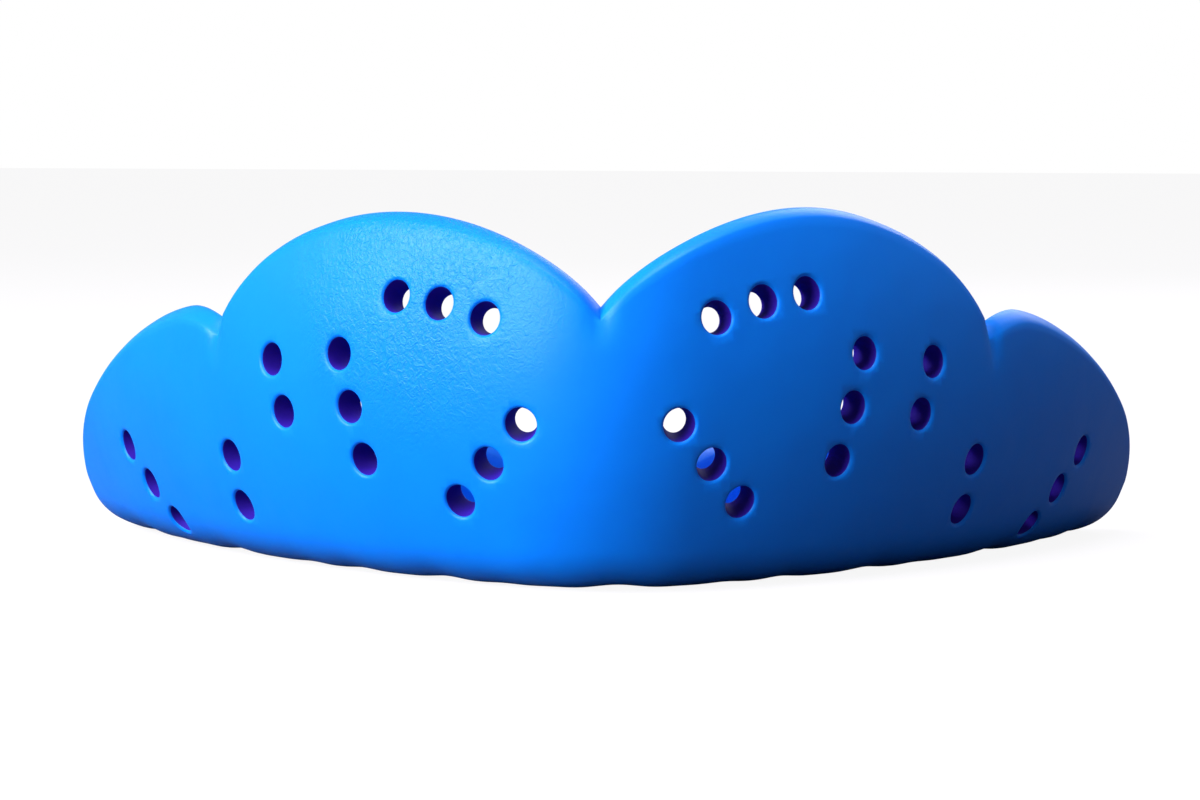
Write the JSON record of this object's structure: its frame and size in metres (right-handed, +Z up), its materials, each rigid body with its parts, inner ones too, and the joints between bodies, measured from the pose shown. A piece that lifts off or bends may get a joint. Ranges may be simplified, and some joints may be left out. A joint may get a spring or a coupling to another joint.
{
  "type": "mouthguard",
  "caption": "Thin moulded sports mouthguard: U-shaped tooth channel with a petal-edged outer wall, a flat bite floor and a low tongue-side lip, perforated all over.",
  "frame": {"origin": "middle of the object's box, on the plane of the flat underside that it rests on", "axes": "+Z up, from the bite floor towards the gums; -Y towards the front teeth; +X to the right in a view from the front along +Y"},
  "size_m": [0.0642, 0.0412, 0.0202],
  "materials": {
    "blue_thermoplastic": "satin moulded thermoplastic, slightly translucent"
  },
  "bodies": {
    "root": {"guard_shell": "blue_thermoplastic"}
  },
  "joints": []
}
